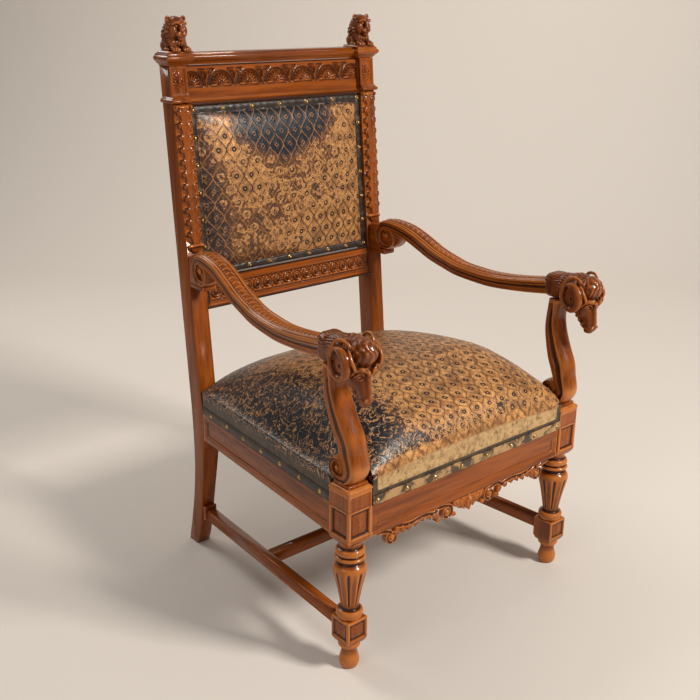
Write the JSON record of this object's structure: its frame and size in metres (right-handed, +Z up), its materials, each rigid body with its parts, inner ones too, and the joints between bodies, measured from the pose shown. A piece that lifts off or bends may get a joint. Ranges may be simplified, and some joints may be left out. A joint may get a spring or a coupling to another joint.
{
  "type": "throne armchair",
  "caption": "Carved walnut throne armchair with lion finials, ram-head arms, turned fluted front legs and a worn gilt embossed leather seat and back.",
  "frame": {"origin": "middle of the chair's footprint box, on the floor", "axes": "+Z up, the chair faces -Y, +X is to the right of a viewer who stands in front of it"},
  "size_m": [0.721, 0.7378, 1.2205],
  "materials": {
    "walnut": "polished walnut, warm red-brown, darker in the recesses",
    "carved_walnut": "carved and polished walnut, worn bright on the high edges",
    "shaded_walnut": "plain polished walnut",
    "dark_wood": "dark stained block",
    "gilt_leather": "embossed leather with worn gilding over blue-black",
    "edge_leather": "dark leather strip",
    "brass_nails": "domed brass upholstery nails, dulled"
  },
  "bodies": {
    "root": {"front_leg_right": "walnut", "front_leg_left": "walnut", "rear_stile_right": "walnut", "rear_stile_left": "walnut", "arm_right": "carved_walnut", "arm_left": "carved_walnut", "arm_support_right": "walnut", "arm_support_left": "walnut", "lion_right": "carved_walnut", "lion_left": "carved_walnut", "side_rail_right": "walnut", "side_rail_left": "walnut", "side_stretcher_right": "shaded_walnut", "side_stretcher_left": "shaded_walnut", "stretcher_collar_right": "dark_wood", "stretcher_collar_left": "dark_wood", "seat_trim_right": "edge_leather", "seat_trim_left": "edge_leather", "seat_trim_front": "edge_leather", "seat_cushion": "gilt_leather", "front_rail": "walnut", "back_seat_rail": "shaded_walnut", "apron": "carved_walnut", "cross_stretcher": "shaded_walnut", "cornice": "walnut", "pilaster_right": "carved_walnut", "pilaster_left": "carved_walnut", "frieze": "carved_walnut", "lower_back_rail": "carved_walnut", "back_pad": "gilt_leather", "back_trim": "edge_leather"}
  },
  "joints": []
}
